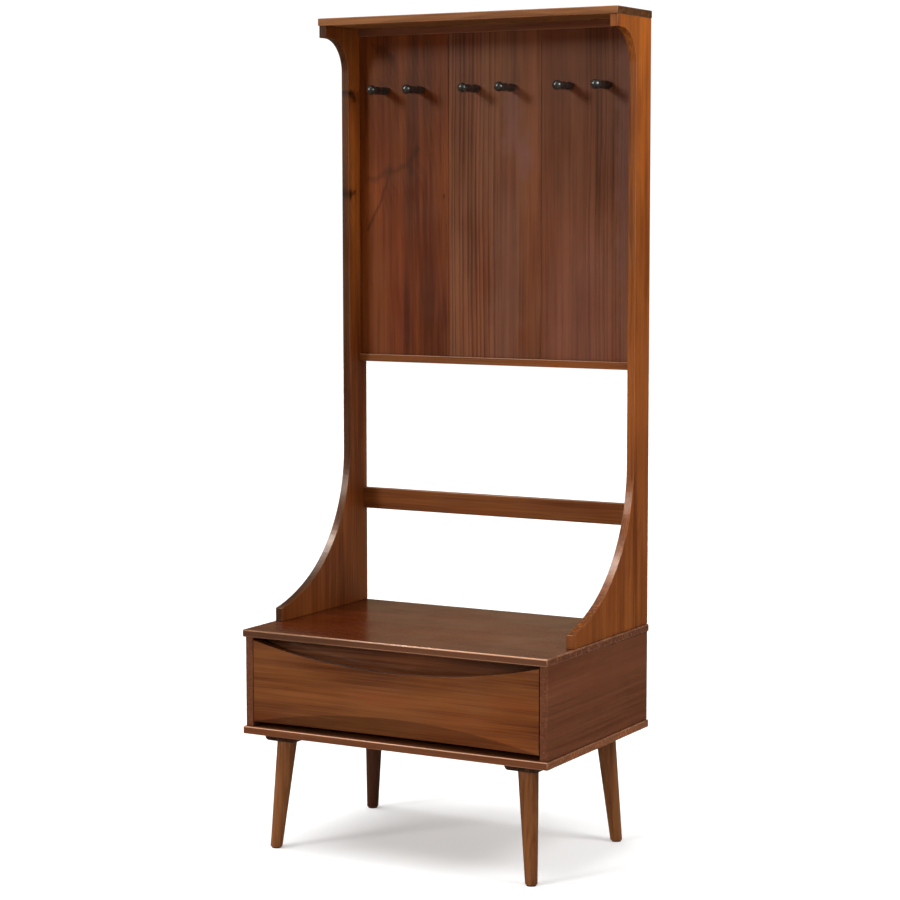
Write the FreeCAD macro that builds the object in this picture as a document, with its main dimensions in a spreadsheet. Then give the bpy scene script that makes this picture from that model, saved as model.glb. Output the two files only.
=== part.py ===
"""Hall tree with a bench drawer: a storage bench on splayed legs, two shaped uprights, a boarded back
with six coat pegs and a cap board. Millimetres. +Z is up, the front faces -Y, and the origin is on the
floor, midway along the width and the depth."""

import FreeCAD, Part
import Sketcher
import math
import os
import re

DIMS = {
    # whole piece
    "overall_height": 1830,
    "seat_width": 750,
    "seat_depth": 494,
    "seat_height": 489,
    "base_underside": 257.5,
    "board": 16.5,
    "side_board": 18,
    "side_overhang": 4,
    "front_overhang": 7,
    # cap and shaped uprights
    "cap_width": 745,
    "cap_depth": 173,
    "nose_setback": 3.5,
    "nose_height": 26.5,
    "nose_radius": 73,
    "column_depth": 75,
    "sweep_top": 851,
    "sweep_radius": 327,
    "sweep_turn": 60,
    "sweep_end_radius": 435,
    "sweep_reach": 367,
    # rails and back boards
    "rail_depth": 32,
    "lower_rail_top": 1069,
    "mid_rail_top": 755,
    "mid_rail_height": 48,
    "back_board": 12,
    "back_setback": 6,
    "groove_depth": 6,
    "tongue": 4,
    "tongue_length": 5,
    "board_ease": 1,
    # coat pegs
    "peg_height": 1672,
    "peg_half_spacing": 46,
    "peg_length": 76.5,
    "peg_ball": 11,
    "peg_base": 8.6,
    "peg_neck": 8,
    "peg_bead_length": 27,
    "peg_bead_radius": 58,
    "stud_radius": 3,
    "stud_length": 24,
    # feet
    "cleat_inner": 257,
    "cleat_width": 81.5,
    "cleat_length": 430,
    "cleat_round": 9,
    "leg_top_x": 299,
    "leg_top_y": 186,
    "leg_foot_x": 317,
    "leg_foot_y": 206,
    "leg_top_radius": 22,
    "leg_foot_radius": 13.2,
    "glide_radius": 10.5,
    "glide_height": 3,
    "bolt_radius": 4,
    "bolt_length": 30,
    "bolt_bite": 12,
    "end_gap": 1,
    # drawer
    "drawer_gap": 2,
    "front_top_gap": 6.5,
    "front_lower_gap": 12,
    "scoop_depth": 43,
    "facet_depth": 10,
    "facet_height": 40,
    "finger_space": 22,
    "box_board": 12,
    "box_half_width": 340,
    "box_rear": 200,
    "box_lower": 290,
    "box_side_height": 150,
    "box_front_clearance": 4,
    "box_panel": 6,
    "box_lip": 8,
    "spacer_width": 40,
    "spacer_height": 130,
    "back_panel": 9,
    "back_inset": 3,
    "stop_outer": 240,
    "stop_width": 40,
    "stop_gap": 0.5,
    "runner_height": 42,
    "runner_sheet": 1.5,
    "runner_flange": 9,
    "runner_gap": 0.3,
    "runner_length": 390,
    # fasteners
    "screw_radius": 2,
    "head_radius": 4,
    "head_sink": 2.4,
    "runner_screw_bite": 12,
    "box_screw_bite": 9,
    "front_screw_bite": 10,
    "dowel_radius": 4,
    "dowel_length": 30,
    "panel_dowel_bite": 11,
    "small_dowel_radius": 3,
    "small_dowel_bite": 7,
    "small_dowel_length": 20,
    "fit_gap": 0.2,
}

PARTS = []

doc = FreeCAD.newDocument("hall_tree")
sheet = doc.addObject("Spreadsheet::Sheet", "dims")
for row, (alias, size) in enumerate(DIMS.items(), start=1):
    sheet.set(f"A{row}", alias)
    sheet.set(f"B{row}", str(size))
    sheet.setAlias(f"B{row}", alias)
doc.recompute()


def sized(text):
    """The expression with every dimension's name read from the sheet."""
    return re.sub(r"[a-z_]{3,}", lambda word: f"dims.{word[0]}" if word[0] in DIMS else word[0], text)


def value(text):
    """The expression's present value in millimetres."""
    result = sheet.evalExpression(sized(text))
    return float(getattr(result, "Value", result))


def bind(item, name, text):
    item.setExpression(name, sized(text))


def place(item, x, y, z):
    for axis, text in zip("xyz", (x, y, z)):
        bind(item, f"Placement.Base.{axis}", text)


# ---- heights and planes that several pieces share ----
BACK = "seat_depth / 2"
HALF = "(seat_width / 2 - side_overhang)"
INNER = "(seat_width / 2 - side_overhang - side_board)"
SEAT_UNDER = "(seat_height - board)"
BASE_TOP = "(base_underside + board)"
CAP_UNDER = "(overall_height - board)"
CARCASS_FRONT = "(-seat_depth / 2 + front_overhang)"
RAIL_FRONT = "(seat_depth / 2 - rail_depth)"
BOARD_FRONT = "(seat_depth / 2 - rail_depth + back_setback)"
COLUMN_FRONT = "(seat_depth / 2 - column_depth)"
CLEAT_UNDER = "(base_underside - board)"
DRAWER_BACK_FACE = "(-seat_depth / 2 + front_overhang + side_board)"
BOX_FRONT = "(-seat_depth / 2 + front_overhang + side_board + finger_space)"
RUNNER_MIDDLE = "(box_lower + box_side_height / 2)"


# ---- sketches and features ----
def body(label, x="0", y="0", z="0"):
    item = doc.addObject("PartDesign::Body", label)
    item.Label = label
    place(item, x, y, z)
    PARTS.append(item)
    return item


def sketch(owner, plane, offset="0"):
    item = owner.newObject("Sketcher::SketchObject", "Sketch")
    support = next(f for f in owner.Origin.OriginFeatures if f.Role == plane)
    item.AttachmentSupport = [(support, "")]
    item.MapMode = "FlatFace"
    bind(item, "AttachmentOffset.Base.z", offset)
    return item


def dimension(item, kind, geometry, point, text):
    """Ties one coordinate of a sketch point, or a radius, to an expression."""
    if kind == "Radius":
        index = item.addConstraint(Sketcher.Constraint(kind, geometry, value(text)))
    elif abs(value(text)) < 1e-9:
        axis = -2 if kind == "DistanceX" else -1
        item.addConstraint(Sketcher.Constraint("PointOnObject", geometry, point, axis))
        return
    else:
        index = item.addConstraint(Sketcher.Constraint(kind, -1, 1, geometry, point, value(text)))
    bind(item, f"Constraints[{index}]", text)


def arc_between(start, end, radius, turn):
    """Arc of the given radius from start to end; turn is 1 when it runs anticlockwise."""
    chord = end - start
    reach = math.sqrt(max(radius ** 2 - chord.Length ** 2 / 4, 0))
    side = FreeCAD.Vector(-chord.y, chord.x, 0).normalize()
    centre = (start + end) * 0.5 + side * reach * turn
    angles = [math.atan2(p.y - centre.y, p.x - centre.x) for p in (start, end)]
    if turn < 0:
        angles.reverse()
    return Part.ArcOfCircle(Part.Circle(centre, FreeCAD.Vector(0, 0, 1), radius), *angles)


def outline(item, corners):
    """Closed outline. A corner is (x, y), or (x, y, radius, turn) when an arc leads to it."""
    points = [FreeCAD.Vector(value(c[0]), value(c[1]), 0) for c in corners]
    ends = []
    for index, corner in enumerate(corners):
        if len(corner) == 2:
            item.addGeometry(Part.LineSegment(points[index - 1], points[index]), False)
            ends.append((1, 2))
        else:
            arc = arc_between(points[index - 1], points[index], value(corner[2]), corner[3])
            item.addGeometry(arc, False)
            ends.append((1, 2) if corner[3] > 0 else (2, 1))
    for index, corner in enumerate(corners):
        following = (index + 1) % len(corners)
        last = ends[index][1]
        item.addConstraint(Sketcher.Constraint("Coincident", index, last, following, ends[following][0]))
        dimension(item, "DistanceX", index, last, corner[0])
        dimension(item, "DistanceY", index, last, corner[1])
        if len(corner) > 2:
            dimension(item, "Radius", index, 0, corner[2])
    return item


def circles(item, centres, radius):
    for index, (x, y) in enumerate(centres):
        centre = FreeCAD.Vector(value(x), value(y), 0)
        item.addGeometry(Part.Circle(centre, FreeCAD.Vector(0, 0, 1), value(radius)), False)
        dimension(item, "DistanceX", index, 3, x)
        dimension(item, "DistanceY", index, 3, y)
        dimension(item, "Radius", index, 0, radius)
    return item


def pad(owner, profile, length):
    item = owner.newObject("PartDesign::Pad", "Pad")
    item.Profile = profile
    bind(item, "Length", length)
    owner.Tip = item
    return item


def pocket(owner, profile, length, along_normal=False):
    item = owner.newObject("PartDesign::Pocket", "Pocket")
    item.Profile = profile
    bind(item, "Length", length)
    item.Reversed = along_normal
    owner.Tip = item
    return item


def loft(owner, kind, lower, upper):
    item = owner.newObject(f"PartDesign::{kind}Loft", "Loft")
    item.Profile = lower
    item.Sections = [upper]
    item.Ruled = True
    owner.Tip = item
    return item


def plank(label, x, y, z, length, depth, height):
    """Plain board from its lower left front corner."""
    item = body(label, x, y, z)
    corners = [(length, "0"), (length, depth), ("0", depth), ("0", "0")]
    pad(item, outline(sketch(item, "XY_Plane"), corners), height)
    return item


def drill_up(owner, base, centres, radius, start, depth):
    """Upright round holes in a body whose origin is at base, from height start upwards."""
    local = [(f"{x} - ({base[0]})", f"{y} - ({base[1]})") for x, y in centres]
    pocket(owner, circles(sketch(owner, "XY_Plane", f"{start} - ({base[2]})"), local, radius), depth, True)


def drill_across(owner, base, centres, radius, start, depth):
    """Round holes along +X from x = start; centres are (y, z)."""
    local = [(f"{y} - ({base[1]})", f"{z} - ({base[2]})") for y, z in centres]
    pocket(owner, circles(sketch(owner, "YZ_Plane", f"{start} - ({base[0]})"), local, radius), depth, True)


def drill_back(owner, base, centres, radius, start, depth):
    """Round holes along +Y from y = start; centres are (x, z)."""
    local = [(f"{x} - ({base[0]})", f"{z} - ({base[2]})") for x, z in centres]
    item = sketch(owner, "XZ_Plane", f"({base[1]}) - ({start})")
    pocket(owner, circles(item, local, radius), depth)


# ---- groups of like pieces ----
def rod(x, y, z, radius, length, axis):
    """Round bar from (x, y, z) along an axis."""
    item = doc.addObject("Part::Cylinder", "Rod")
    bind(item, "Radius", radius)
    bind(item, "Height", length)
    item.Placement.Rotation = FreeCAD.Rotation(FreeCAD.Vector(0, 0, 1), axis)
    place(item, x, y, z)
    return item


def screw(x, y, z, length, axis):
    """Countersunk screw: its head's face at (x, y, z), its shank along an axis."""
    head = doc.addObject("Part::Cone", "Head")
    bind(head, "Radius1", "head_radius")
    bind(head, "Radius2", "screw_radius")
    bind(head, "Height", "head_radius - screw_radius")
    head.Placement.Rotation = FreeCAD.Rotation(FreeCAD.Vector(0, 0, 1), axis)
    place(head, x, y, z)
    whole = doc.addObject("Part::Fuse", "Screw")
    whole.Base = head
    whole.Tool = rod(x, y, z, "screw_radius", length, axis)
    return whole


def group(label, members):
    item = doc.addObject("Part::Compound", label)
    item.Label = label
    item.Links = members
    PARTS.append(item)
    return item


UP = FreeCAD.Vector(0, 0, 1)
RIGHT = FreeCAD.Vector(1, 0, 0)
LEFT = FreeCAD.Vector(-1, 0, 0)
FORWARD = FreeCAD.Vector(0, -1, 0)
REARWARD = FreeCAD.Vector(0, 1, 0)
SIDES = (("left", "-"), ("right", ""))

# ---- where the fasteners go, and the holes they need ----
DOWEL_HOLE = "dowel_radius + fit_gap"
SMALL_DOWEL_HOLE = "small_dowel_radius + fit_gap"
SCREW_HOLE = "screw_radius + fit_gap"
HEAD_HOLE = "head_radius + fit_gap"
STUD_HOLE = "stud_radius + fit_gap"
BOLT_HOLE = "bolt_radius + fit_gap"
BOX_INSIDE = f"({BOX_FRONT} + box_board)"
UPRIGHT_LINE = f"({HALF} - side_board / 2)"
UPRIGHT_DOWEL_ROW = ("-60", "75", "205")
CAP_DOWEL_ROW = ("120", "215")
UPRIGHT_DOWELS = [(f"{sign}{UPRIGHT_LINE}", y) for _, sign in SIDES for y in UPRIGHT_DOWEL_ROW]
CAP_DOWELS = [(f"{sign}{UPRIGHT_LINE}", y) for _, sign in SIDES for y in CAP_DOWEL_ROW]
SIDE_DOWELS = ("-180", "0", "180")
CLEAT_LINE = "(cleat_inner + cleat_width / 2)"
CLEAT_SCREWS = [(f"{sign}{CLEAT_LINE}", y) for _, sign in SIDES for y in ("-120", "-40", "40", "120")]
RAIL_DOWELS = [
    (f"({BACK} - rail_depth / 4)", f"({CAP_UNDER} - board / 2)"),
    (f"({BACK} - rail_depth / 4)", "(lower_rail_top - board / 2)"),
    (f"({BACK} - board / 2)", "(mid_rail_top - mid_rail_height / 4)"),
    (f"({BACK} - board / 2)", "(mid_rail_top - 3 * mid_rail_height / 4)"),
]
BOX_ROWS = ("(box_lower + 45)", "(box_lower + 115)")
FRONT_SCREWS = [(f"{sign}(box_half_width - spacer_width / 2)", z) for _, sign in SIDES for z in BOX_ROWS]
FRONT_SCREW_LENGTH = "(box_board + finger_space + front_screw_bite - fit_gap)"
BOX_FRONT_DOWELS = [(f"{sign}(box_half_width - box_board / 2)", z) for _, sign in SIDES for z in BOX_ROWS]
BOX_BACK_DOWELS = [("(box_rear - box_board / 2)", z) for z in BOX_ROWS]
RUNNER_SCREWS = ("-150", "150")


# ---- bench carcass ----
def seat_and_base():
    """The seat and the bottom board, the same size, one above the other."""
    corner = ("-seat_width / 2", "-seat_depth / 2")
    for label, under in (("seat_board", SEAT_UNDER), ("bottom_board", "base_underside")):
        item = plank(label, *corner, under, "seat_width", "seat_depth", "board")
        base = (*corner, under)
        ends = [(f"{sign}{UPRIGHT_LINE}", y) for _, sign in SIDES for y in SIDE_DOWELS]
        if label == "seat_board":
            drill_up(item, base, ends, DOWEL_HOLE, SEAT_UNDER, "panel_dowel_bite")
            bite = "seat_height - panel_dowel_bite"
            drill_up(item, base, UPRIGHT_DOWELS, DOWEL_HOLE, bite, "panel_dowel_bite")
        else:
            bite = f"{BASE_TOP} - panel_dowel_bite"
            drill_up(item, base, ends, DOWEL_HOLE, bite, "panel_dowel_bite")
            drill_up(item, base, CLEAT_SCREWS, SCREW_HOLE, "base_underside", "panel_dowel_bite")


def side_panel(side, sign):
    left = f"-{HALF}" if sign else INNER
    base = (left, CARCASS_FRONT, BASE_TOP)
    item = plank(f"{side}_side_panel", *base, "side_board", f"{BACK} - {CARCASS_FRONT}",
                 f"{SEAT_UNDER} - {BASE_TOP}")
    centres = [(f"{sign}{UPRIGHT_LINE}", y) for y in SIDE_DOWELS]
    rest = "(dowel_length - panel_dowel_bite)"
    drill_up(item, base, centres, DOWEL_HOLE, BASE_TOP, rest)
    drill_up(item, base, centres, DOWEL_HOLE, f"{SEAT_UNDER} - {rest}", rest)
    runner_holes = [(y, RUNNER_MIDDLE) for y in RUNNER_SCREWS]
    start = f"-{INNER} - runner_screw_bite" if sign else INNER
    drill_across(item, base, runner_holes, SCREW_HOLE, start, "runner_screw_bite")
    start = f"-{INNER} - head_sink" if sign else INNER
    drill_across(item, base, runner_holes, HEAD_HOLE, start, "head_sink")


def cabinet_back():
    plank("cabinet_back", f"-{INNER}", f"{BACK} - back_inset - back_panel", BASE_TOP,
          f"2 * {INNER}", "back_panel", f"{SEAT_UNDER} - {BASE_TOP}")


def drawer_stop(side, sign):
    """Block on the cabinet back that the closed drawer comes to rest against."""
    left = "-stop_outer" if sign else "stop_outer - stop_width"
    plank(f"{side}_drawer_stop", left, "box_rear + stop_gap", "box_lower + stop_width", "stop_width",
          f"{BACK} - back_inset - back_panel - box_rear - stop_gap", "stop_width")


# ---- uprights, cap and rails ----
def upright(side, sign):
    """Tall side board: a nose under the cap, a slim column, and a sweep forward to the seat."""
    left = f"-{HALF}" if sign else INNER
    item = body(f"{side}_upright", left)
    nose_front = f"({BACK} - cap_depth + nose_setback)"
    nose_under = f"({CAP_UNDER} - nose_height)"
    turn_y = f"({COLUMN_FRONT} - sweep_radius * (1 - cos(sweep_turn)))"
    turn_z = "(sweep_top - sweep_radius * sin(sweep_turn))"
    centre_y = f"({turn_y} - sweep_end_radius * cos(sweep_turn))"
    centre_z = f"({turn_z} + sweep_end_radius * sin(sweep_turn))"
    toe = f"({BACK} - sweep_reach)"
    toe_top = f"({centre_z} - sqrt(sweep_end_radius ^ 2 - ({toe} - {centre_y}) ^ 2))"
    corners = [
        (BACK, "seat_height"),
        (BACK, CAP_UNDER),
        (nose_front, CAP_UNDER),
        (nose_front, nose_under),
        (f"{COLUMN_FRONT} - nose_radius", nose_under),
        (COLUMN_FRONT, f"{nose_under} - nose_radius", "nose_radius", -1),
        (COLUMN_FRONT, "sweep_top"),
        (turn_y, turn_z, "sweep_radius", -1),
        (toe, toe_top, "sweep_end_radius", -1),
        (toe, "seat_height"),
    ]
    pad(item, outline(sketch(item, "YZ_Plane"), corners), "side_board")
    base = (left, "0", "0")
    seat_ends = [(f"{sign}{UPRIGHT_LINE}", y) for y in UPRIGHT_DOWEL_ROW]
    cap_ends = [(f"{sign}{UPRIGHT_LINE}", y) for y in CAP_DOWEL_ROW]
    rest = "(dowel_length - panel_dowel_bite)"
    drill_up(item, base, seat_ends, DOWEL_HOLE, "seat_height", rest)
    drill_up(item, base, cap_ends, DOWEL_HOLE, f"{CAP_UNDER} - {rest}", rest)
    start = f"-{INNER} - dowel_length / 2" if sign else INNER
    drill_across(item, base, RAIL_DOWELS, DOWEL_HOLE, start, "dowel_length / 2")


def cap_board():
    base = ("-cap_width / 2", f"{BACK} - cap_depth", CAP_UNDER)
    item = plank("cap_board", *base, "cap_width", "cap_depth", "board")
    drill_up(item, base, CAP_DOWELS, DOWEL_HOLE, CAP_UNDER, "panel_dowel_bite")


def end_holes(item, base, rows):
    """Dowel holes in both ends of a rail."""
    for start in (f"-{INNER}", f"{INNER} - dowel_length / 2"):
        drill_across(item, base, rows, DOWEL_HOLE, start, "dowel_length / 2")


def grooved_rail(label, plain, open_face, rows):
    """Narrow rail whose open face holds the back boards in a groove."""
    base = (f"-{INNER}", "0", "0")
    item = body(label, *base)
    near = f"{BOARD_FRONT} - fit_gap"
    far = f"{BOARD_FRONT} + back_board + fit_gap"
    floor = f"{open_face} - groove_depth" if label == "lower_rail" else f"{open_face} + groove_depth"
    corners = [
        (RAIL_FRONT, plain),
        (BACK, plain),
        (BACK, open_face),
        (far, open_face),
        (far, floor),
        (near, floor),
        (near, open_face),
        (RAIL_FRONT, open_face),
    ]
    pad(item, outline(sketch(item, "YZ_Plane"), corners), f"2 * {INNER}")
    end_holes(item, base, rows)


def rails():
    grooved_rail("top_rail", CAP_UNDER, f"({CAP_UNDER} - board)", RAIL_DOWELS[:1])
    grooved_rail("lower_rail", "(lower_rail_top - board)", "lower_rail_top", RAIL_DOWELS[1:2])
    base = (f"-{INNER}", f"{BACK} - board", "mid_rail_top - mid_rail_height")
    item = plank("mid_rail", *base, f"2 * {INNER}", "board", "mid_rail_height")
    end_holes(item, base, RAIL_DOWELS[2:])


# ---- boarded back and pegs ----
def back_board(name, number):
    """One vertical board: tongues on the middle one, grooves in its neighbours, eased front arrises."""
    lower = "lower_rail_top - groove_depth + fit_gap"
    item = body(f"back_board_{name}", "0", "0", lower)
    near = BOARD_FRONT
    far = f"({near} + back_board)"
    ease = f"({near} + board_ease)"
    seam = f"({INNER} / 3)"
    if number == 0:
        root = (f"({near} + (back_board - tongue) / 2)", f"({near} + (back_board + tongue) / 2)")
        half = [
            (f"{seam} - board_ease", near),
            (seam, ease),
            (seam, root[0]),
            (f"{seam} + tongue_length", root[0]),
            (f"{seam} + tongue_length", root[1]),
            (seam, root[1]),
            (seam, far),
        ]
        corners = half + [(f"-({x})", y) for x, y in reversed(half)]
    else:
        root = (f"({near} + (back_board - tongue) / 2 - fit_gap)",
                f"({near} + (back_board + tongue) / 2 + fit_gap)")
        half = [
            (INNER, near),
            (f"{seam} + board_ease", near),
            (seam, ease),
            (seam, root[0]),
            (f"{seam} + tongue_length + fit_gap", root[0]),
            (f"{seam} + tongue_length + fit_gap", root[1]),
            (seam, root[1]),
            (seam, far),
            (INNER, far),
        ]
        corners = [(f"{number} * ({x})", y) for x, y in half]
    height = f"{CAP_UNDER} - board - lower_rail_top + 2 * groove_depth - 2 * fit_gap"
    pad(item, outline(sketch(item, "XY_Plane"), corners), height)
    centres = [(peg_line(number, hand), "peg_height") for hand in (-1, 1)]
    drill_back(item, ("0", "0", lower), centres, STUD_HOLE, BOARD_FRONT, "stud_length / 2")


def peg_line(number, hand):
    """A peg's X: two pegs stand either side of each board's middle."""
    return f"({number} * 2 * {INNER} / 3 + {hand} * peg_half_spacing)"


def coat_peg(index, x):
    """Turned peg: two long beads against the board, a short neck and a ball."""
    item = body(f"coat_peg_{index}", x, BOARD_FRONT, "peg_height")
    ball_start = "(peg_length - peg_ball - sqrt(peg_ball ^ 2 - peg_neck ^ 2))"
    corners = [
        ("0", "0"),
        ("0", "peg_base"),
        ("-peg_bead_length", "peg_neck", "peg_bead_radius", 1),
        ("-2 * peg_bead_length", "peg_neck", "peg_bead_radius", 1),
        (f"-{ball_start}", "peg_neck"),
        ("-peg_length", "0", "peg_ball", 1),
    ]
    profile = outline(sketch(item, "YZ_Plane"), corners)
    turned = item.newObject("PartDesign::Revolution", "Turned")
    turned.Profile = profile
    turned.ReferenceAxis = (profile, ["H_Axis"])
    turned.Angle = 360
    item.Tip = turned
    depth = "(stud_length / 2 + fit_gap)"
    drill_back(item, (x, BOARD_FRONT, "peg_height"), [(x, "peg_height")], STUD_HOLE,
               f"{BOARD_FRONT} - {depth}", depth)


def pegs():
    lines = [peg_line(number, hand) for number in (-1, 0, 1) for hand in (-1, 1)]
    for index, x in enumerate(lines, start=1):
        coat_peg(index, x)
    start = f"{BOARD_FRONT} + stud_length / 2 - fit_gap"
    studs = [rod(x, start, "peg_height", "stud_radius", "stud_length - fit_gap", FORWARD) for x in lines]
    group("peg_studs", studs)


# ---- feet ----
def leg_centre(sign_x, sign_y, height):
    """Centre of a splayed leg at a height, as (x, y)."""
    along = f"(({CLEAT_UNDER} - ({height})) / ({CLEAT_UNDER} - glide_height))"
    x = f"{sign_x}(leg_top_x + (leg_foot_x - leg_top_x) * {along})"
    y = f"{sign_y}(leg_top_y + (leg_foot_y - leg_top_y) * {along})"
    return x, y


def leaning_round(item, sign_x, sign_y, low, low_radius, high, high_radius, kind="Additive"):
    """Round bar or hole between two level circles on a leg's centre line."""
    lower = circles(sketch(item, "XY_Plane", low), [leg_centre(sign_x, sign_y, low)], low_radius)
    upper = circles(sketch(item, "XY_Plane", high), [leg_centre(sign_x, sign_y, high)], high_radius)
    loft(item, kind, lower, upper)


def cleat(side, sign):
    """Board under the bench that carries two legs, its lower edges rounded."""
    item = body(f"{side}_cleat", "0", "cleat_length / 2")
    turn = -1 if sign else 1
    outer = "cleat_inner + cleat_width"
    profile = [
        ("cleat_inner", f"{CLEAT_UNDER} + cleat_round"),
        ("cleat_inner + cleat_round", CLEAT_UNDER, "cleat_round", turn),
        (f"{outer} - cleat_round", CLEAT_UNDER),
        (outer, f"{CLEAT_UNDER} + cleat_round", "cleat_round", turn),
        (outer, "base_underside"),
        ("cleat_inner", "base_underside"),
    ]
    corners = [(f"{sign}({corner[0]})", *corner[1:]) for corner in profile]
    pad(item, outline(sketch(item, "XZ_Plane"), corners), "cleat_length")
    base = ("0", "cleat_length / 2", "0")
    centres = [(x, y) for x, y in CLEAT_SCREWS if x.startswith("-") == bool(sign)]
    drill_up(item, base, centres, SCREW_HOLE, CLEAT_UNDER, "board")
    drill_up(item, base, centres, HEAD_HOLE, CLEAT_UNDER, "head_sink")
    for y_sign in ("-", ""):
        x, y = leg_centre(sign, y_sign, CLEAT_UNDER)
        top_x, top_y = leg_centre(sign, y_sign, f"{CLEAT_UNDER} + bolt_bite")
        lower = circles(sketch(item, "XY_Plane", CLEAT_UNDER), [(x, f"{y} - cleat_length / 2")], BOLT_HOLE)
        upper = circles(sketch(item, "XY_Plane", f"{CLEAT_UNDER} + bolt_bite"),
                        [(top_x, f"{top_y} - cleat_length / 2")], BOLT_HOLE)
        loft(item, "Subtractive", lower, upper)


def leg(label, sign_x, sign_y):
    item = body(label)
    leaning_round(item, sign_x, sign_y, "glide_height", "leg_foot_radius", CLEAT_UNDER, "leg_top_radius")
    leaning_round(item, sign_x, sign_y, f"{CLEAT_UNDER} - bolt_length", BOLT_HOLE, CLEAT_UNDER, BOLT_HOLE,
                  "Subtractive")


def feet():
    corners = [(end, side, sx, sy) for end, sy in (("front", "-"), ("rear", "")) for side, sx in SIDES]
    bolts = []
    glides = []
    for end, side, sign_x, sign_y in corners:
        leg(f"{end}_{side}_leg", sign_x, sign_y)
        bolt_foot = f"{CLEAT_UNDER} - bolt_length + end_gap"
        foot = leg_centre(sign_x, sign_y, bolt_foot)
        top = leg_centre(sign_x, sign_y, f"{CLEAT_UNDER} + bolt_bite")
        rise = value("bolt_length + bolt_bite - end_gap")
        lean = FreeCAD.Vector(value(top[0]) - value(foot[0]), value(top[1]) - value(foot[1]), rise)
        bolts.append(rod(*foot, bolt_foot, "bolt_radius", "bolt_length + bolt_bite - 2 * end_gap",
                         lean))
        glides.append(rod(*leg_centre(sign_x, sign_y, "glide_height"), "0", "glide_radius",
                          "glide_height", UP))
    group("leg_bolts", bolts)
    group("foot_glides", glides)


# ---- drawer ----
def drawer_front():
    """Front board: its top edge is scooped, and a bevel under a matching arc thins its lower edge."""
    item = body("drawer_front", "0", DRAWER_BACK_FACE)
    half = f"({INNER} - drawer_gap)"
    low = f"({BASE_TOP} + front_lower_gap)"
    high = f"({SEAT_UNDER} - front_top_gap)"
    scoop_radius = f"(({half} ^ 2 + scoop_depth ^ 2) / (2 * scoop_depth))"
    corners = [
        (f"-{half}", low),
        (half, low),
        (half, high),
        (f"-{half}", high, scoop_radius, -1),
    ]
    pad(item, outline(sketch(item, "XZ_Plane"), corners), "side_board")
    facet_radius = f"(({half} ^ 2 + facet_height ^ 2) / (2 * facet_height))"
    facet = [
        (f"-{half}", f"{low} - facet_height"),
        (half, f"{low} - facet_height"),
        (half, low),
        (f"-{half}", low, facet_radius, 1),
    ]
    profile = outline(sketch(item, "XZ_Plane", "side_board"), facet)
    bevel = item.newObject("PartDesign::Pocket", "Bevel")
    bevel.Profile = profile
    bevel.UseCustomVector = True
    bevel.Direction = FreeCAD.Vector(0, value("facet_depth"), -value("facet_height"))
    bevel.AlongSketchNormal = False
    bind(bevel, "Length", "sqrt(facet_depth ^ 2 + facet_height ^ 2)")
    item.Tip = bevel
    base = ("0", DRAWER_BACK_FACE, "0")
    drill_back(item, base, FRONT_SCREWS, SCREW_HOLE, f"{DRAWER_BACK_FACE} - front_screw_bite",
               "front_screw_bite")


def drawer_inner_front():
    base = ("-box_half_width", BOX_FRONT, "0")
    item = body("drawer_inner_front", *base)
    groove = "(box_lower + box_lip)"
    corners = [
        ("0", "box_lower"),
        ("box_board", "box_lower"),
        ("box_board", groove),
        ("box_board / 2", groove),
        ("box_board / 2", f"{groove} + box_panel + fit_gap"),
        ("box_board", f"{groove} + box_panel + fit_gap"),
        ("box_board", f"{SEAT_UNDER} - box_front_clearance"),
        ("0", f"{SEAT_UNDER} - box_front_clearance"),
    ]
    pad(item, outline(sketch(item, "YZ_Plane"), corners), "2 * box_half_width")
    drill_back(item, base, FRONT_SCREWS, SCREW_HOLE, BOX_FRONT, "box_board")
    drill_back(item, base, FRONT_SCREWS, HEAD_HOLE, f"{BOX_INSIDE} - head_sink", "head_sink")
    depth = "small_dowel_bite"
    drill_back(item, base, BOX_FRONT_DOWELS, SMALL_DOWEL_HOLE, f"{BOX_INSIDE} - {depth}", depth)


def drawer_side(side, sign):
    """Box side with a groove for the bottom along its inner face."""
    item = body(f"drawer_{side}_side", "0", "box_rear")
    outer = "box_half_width"
    inner = "(box_half_width - box_board)"
    groove = "(box_lower + box_lip)"
    top = "box_lower + box_side_height"
    profile = [
        (outer, "box_lower"),
        (outer, top),
        (inner, top),
        (inner, f"{groove} + box_panel + fit_gap"),
        (f"{inner} + box_board / 2", f"{groove} + box_panel + fit_gap"),
        (f"{inner} + box_board / 2", groove),
        (inner, groove),
        (inner, "box_lower"),
    ]
    corners = [(f"{sign}({x})", z) for x, z in profile]
    pad(item, outline(sketch(item, "XZ_Plane"), corners), f"box_rear - {BOX_INSIDE}")
    base = ("0", "box_rear", "0")
    ends = [(x, z) for x, z in BOX_FRONT_DOWELS if x.startswith("-") == bool(sign)]
    drill_back(item, base, ends, SMALL_DOWEL_HOLE, BOX_INSIDE, "small_dowel_length")
    depth = "small_dowel_bite"
    start = "-box_half_width + box_board - small_dowel_bite" if sign else "box_half_width - box_board"
    drill_across(item, base, BOX_BACK_DOWELS, SMALL_DOWEL_HOLE, start, depth)
    rows = [(y, RUNNER_MIDDLE) for y in RUNNER_SCREWS]
    start = "-box_half_width" if sign else "box_half_width - box_screw_bite"
    drill_across(item, base, rows, SCREW_HOLE, start, "box_screw_bite")
    start = "-box_half_width" if sign else "box_half_width - head_sink"
    drill_across(item, base, rows, HEAD_HOLE, start, "head_sink")


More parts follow.
